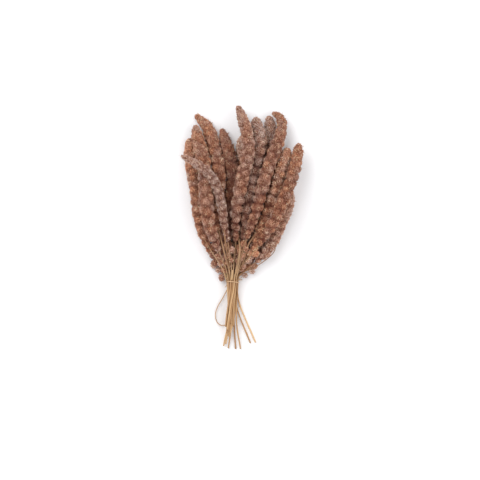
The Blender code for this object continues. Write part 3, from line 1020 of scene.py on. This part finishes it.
# Bare stems in front, in the same measure. The first one sticks out over the heads at the left.
fanStems = [
    [(-9.5, 2, 3), (-14.5, 20, 19), (-21, 30.5, 27), (-26.5, 39, 32.5), (-33, 49, 25), (-39, 59, 12),
     (-45, 68, 8)],
    [(-6.5, 2, 5), (-9, 15.5, 14), (-16.5, 56, 16)],
    [(-3, 2, 6), (-4.2, 16, 16), (-8.2, 58, 20)],
    [(-1, 2, 6), (-1.4, 15, 16), (-2.2, 44, 20)],
    [(0.2, 2, 6), (1.2, 14.5, 16), (3.6, 54, 20)],
    [(2.4, 2, 6), (4.6, 16.5, 16), (12.5, 59, 20)],
    [(5, 2, 5), (8.2, 15.8, 15), (20, 57, 18)],
]
fanStem = {"radius": 0.00075, "darkest": 0.3}
# A pale leaf sheath on the front straws above the band
sheath = {"points": [(-1.2, 3, 7), (-1, 8.5, 11.5), (-0.6, 14, 15), (0, 19, 16.5)], "radius": 0.0017}


# Points in metres from that measure
def fromBand(points):
    return np.array(points) / 1000 + bandMiddle


def dressFan(stalks, allPaths):
    draw = random.Random("stalks")
    across, forward, rise = edgeAxis
    lumps = [lumpMesh(np.array(middle), size, np.array((middle[0] + across, forward, rise)), draw)
             for middle, size in edgeLobes]
    dressLobes(lumps, "edgeLobes")
    lowest = bandY + stalk["aboveBand"]
    middles = [np.mean(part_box(name), axis=0) for name in clusterNames]
    for middle in middles + [np.array(middle) for middle, _ in edgeLobes]:
        feet = allPaths[(allPaths[:, 1] < middle[1] - stalk["down"]) & (allPaths[:, 1] > lowest)]
        if not len(feet):
            feet = np.array([[0, lowest, middle[2]]])
        foot = feet[norm(feet - middle, axis=1).argmin()]
        stalks.append(stalkMesh([foot, (foot + middle) / 2 + stalk["sag"], middle],
                                stalk["thicker"] * stalk["radius"], draw.uniform(*stalk["dull"])))
    for ends in brokenStalks:
        start, end = fromBand(ends)
        stalks.append(stalkMesh([start, (start + end) / 2, end], stalk["broken"] * stalk["radius"],
                                draw.random()))
    for points in fanStems:
        stalks.append(stalkMesh(fromBand(points), fanStem["radius"], draw.uniform(0, fanStem["darkest"])))
    stalks.append(stalkMesh(fromBand(sheath["points"]), sheath["radius"], 0.0))
    dress(addObject("sideStalks", joined("sideStalks", stalks), straw), "straw")
    print("fan dressed")


# Band: one flat strand of rubber, twisted a little where it turns the corners

band = {
    "ringReach": 0.0011,
    "width": 0.0016,
    "thickness": 0.0009,
    "along": 120,
    "around": 12,
    "smoothing": 2,
    "roundness": 0.6,  # 1 is an oval section, and 0 a rectangle
    "twist": 0.25,
}


def dressBand():
    path, _ = tubePath("band", band["ringReach"])
    loop = np.vstack([path, path[:1]])
    length = distanceAlong(loop)[-1]
    count, around = band["along"], band["around"]
    where = np.linspace(0, length, count, endpoint=False)
    spine = pathAt(loop, where)
    for _ in range(band["smoothing"]):
        spine = (np.roll(spine, 1, axis=0) + 2 * spine + np.roll(spine, -1, axis=0)) / 4
    ahead = unit(np.roll(spine, -1, axis=0) - np.roll(spine, 1, axis=0))
    outward = spine - spine.mean(0)
    outward = unit(outward - (outward * ahead).sum(1)[:, None] * ahead)
    across = np.cross(ahead, outward)
    turn = band["twist"] * np.sin(where / length * 4 * math.pi)[:, None]
    across, outward = (np.cos(turn) * across + np.sin(turn) * outward,
                       np.cos(turn) * outward - np.sin(turn) * across)
    angle = fullTurn(around)
    flat, thick = (np.sign(wave) * np.abs(wave) ** band["roundness"] * band[key] / 2
                   for wave, key in ((np.cos(angle), "width"), (np.sin(angle), "thickness")))
    points = spine[:, None] + flat[:, None] * across[:, None] + thick[:, None] * outward[:, None]
    faces = [(j * around + i, (j + 1) % count * around + i, (j + 1) % count * around + (i + 1) % around,
              j * around + (i + 1) % around) for j in range(count) for i in range(around)]
    mesh = newMesh("band", points.reshape(-1, 3), faces)
    dress(addObject("rubberBand", mesh, rubber), "band", "band")
    print("band dressed")


# Table, light and camera

studio = {
    "lens": 100,
    "frameWidth": 0.744,  # of the photograph, at the middle of the bunch
    "aim": (-0.0037, -0.0184, 0.025),
    "farthest": 20,
    "floorSize": 6.0,
    "floorColour": "#f4f4f6",
    "floorRoughness": 0.9,
    "sky": 0.8,
}
# Soft square lamps: place, power in watts and width
lamps = {"key": ((-0.8, 0.9, 1.6), 20.0, 1.4), "fill": ((1.2, -0.6, 1.5), 12.0, 1.6)}


def makeStudio():
    half = studio["floorSize"] / 2
    mesh = bpy.data.meshes.new("floor")
    mesh.from_pydata([(-half, -half, 0), (half, -half, 0), (half, half, 0), (-half, half, 0)], [],
                     [(0, 1, 2, 3)])
    # Pale matt table top
    table, _, surface = newMaterial("paleTable", studio["floorRoughness"])
    feed(surface, {"Base Color": hexColour(studio["floorColour"])})
    addObject("floor", mesh, table)
    scene = bpy.context.scene
    scene.world = bpy.data.worlds.new("studio")
    scene.world.use_nodes = True
    feed(scene.world.node_tree.nodes["Background"], {"Color": white, "Strength": studio["sky"]})
    for name, (place, power, width) in lamps.items():
        lamp = bpy.data.lights.new(name, "AREA")
        lamp.energy = power
        lamp.size = width
        light = addObject(name, lamp)
        light.location = place
        light.rotation_euler = (-Vector(place)).to_track_quat("-Z", "Y").to_euler()
    camera = bpy.data.cameras.new("camera")
    camera.lens = studio["lens"]
    camera.clip_end = studio["farthest"]
    eye = addObject("camera", camera)
    x, y, z = studio["aim"]
    eye.location = (x, y, z + studio["frameWidth"] * camera.lens / camera.sensor_width)
    scene.camera = eye
    scene.view_settings.view_transform = "Standard"
    print("table, light and camera placed")


dressHeads()
dressClusters()
cadPaths = {name: tubePath(name, tube["ringReach"]) for name in cadNames("straw_") + cadNames("loose_")}
below, shifts = sheafShifts(cadPaths)
paths = {name: gathered(*pair, below, shifts[name]) for name, pair in cadPaths.items()}
allPaths = np.vstack([pathAt(path, np.linspace(0, distanceAlong(path)[-1], lobe["pathPoints"]))
                      for path, _ in map(paths.get, cadNames("straw_"))])
stalks = dressStraws(paths, allPaths)
dressOtherStraws(paths)
dressFan(stalks, allPaths)
dressBand()
makeStudio()
pieces = [piece for piece in bpy.data.objects if piece.type == "MESH" and not piece.hide_render]
triangles = sum(len(face.vertices) - 2 for piece in pieces for face in piece.data.polygons)
print("triangles in the scene:", triangles, "in", len(pieces), "pieces")
